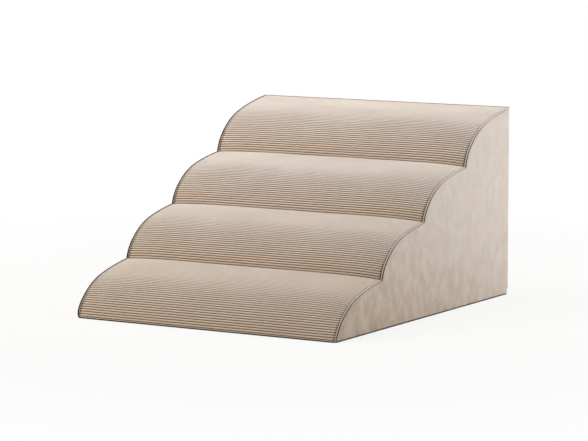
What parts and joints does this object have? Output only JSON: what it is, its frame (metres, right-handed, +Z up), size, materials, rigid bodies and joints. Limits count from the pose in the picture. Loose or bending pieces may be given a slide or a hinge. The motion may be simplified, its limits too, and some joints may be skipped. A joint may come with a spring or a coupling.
{
  "type": "pet stairs",
  "caption": "Low foam pet stairs with rounded waterfall steps, a ribbed corduroy tread cover, plush sides, piped side seams, a non-slip base and a zip at the back.",
  "frame": {"origin": "on the floor under the centre of the footprint", "axes": "+X to the right seen from the front, +Y from the front foot to the tall back, +Z up"},
  "size_m": [0.6, 0.7329, 0.3966],
  "materials": {
    "corduroy": "matte",
    "plush": "matte",
    "piping": "matte",
    "foam": "matte",
    "wadding": "matte",
    "non_slip": "matte",
    "zip_tape": "matte",
    "zip_teeth": "satin",
    "zip_metal": "satin"
  },
  "bodies": {
    "stairs": {"foam_core": "foam", "wadding_layer": "wadding", "non_slip_base": "non_slip", "tread_panel_1": "corduroy", "tread_panel_2": "corduroy", "tread_panel_3": "corduroy", "tread_panel_4": "corduroy", "side_panel_left": "plush", "side_panel_right": "plush", "piping_left": "piping", "piping_right": "piping", "back_panel": "plush", "back_hem": "plush", "zip_tape_upper": "zip_tape", "zip_tape_lower": "zip_tape", "zip_teeth_upper": "zip_teeth", "zip_teeth_lower": "zip_teeth", "zip_top_stops": "zip_metal", "zip_bottom_stop": "zip_metal"},
    "slider": {"zip_slider": "zip_metal"},
    "pull": {"zip_pull": "zip_metal"}
  },
  "joints": [
    {"name": "zip_slide", "type": "slide", "parent": "stairs", "child": "slider", "axis": [-1, 0, 0], "range_m": [0, 0.4685], "deforming": ["zip_teeth_upper", "zip_teeth_lower"]},
    {"name": "pull_swing", "type": "hinge", "parent": "slider", "child": "pull", "pos_m": [0.2341, 0.3659, 0.032], "axis": [0, 0, -1], "range_deg": [0, 175]}
  ]
}
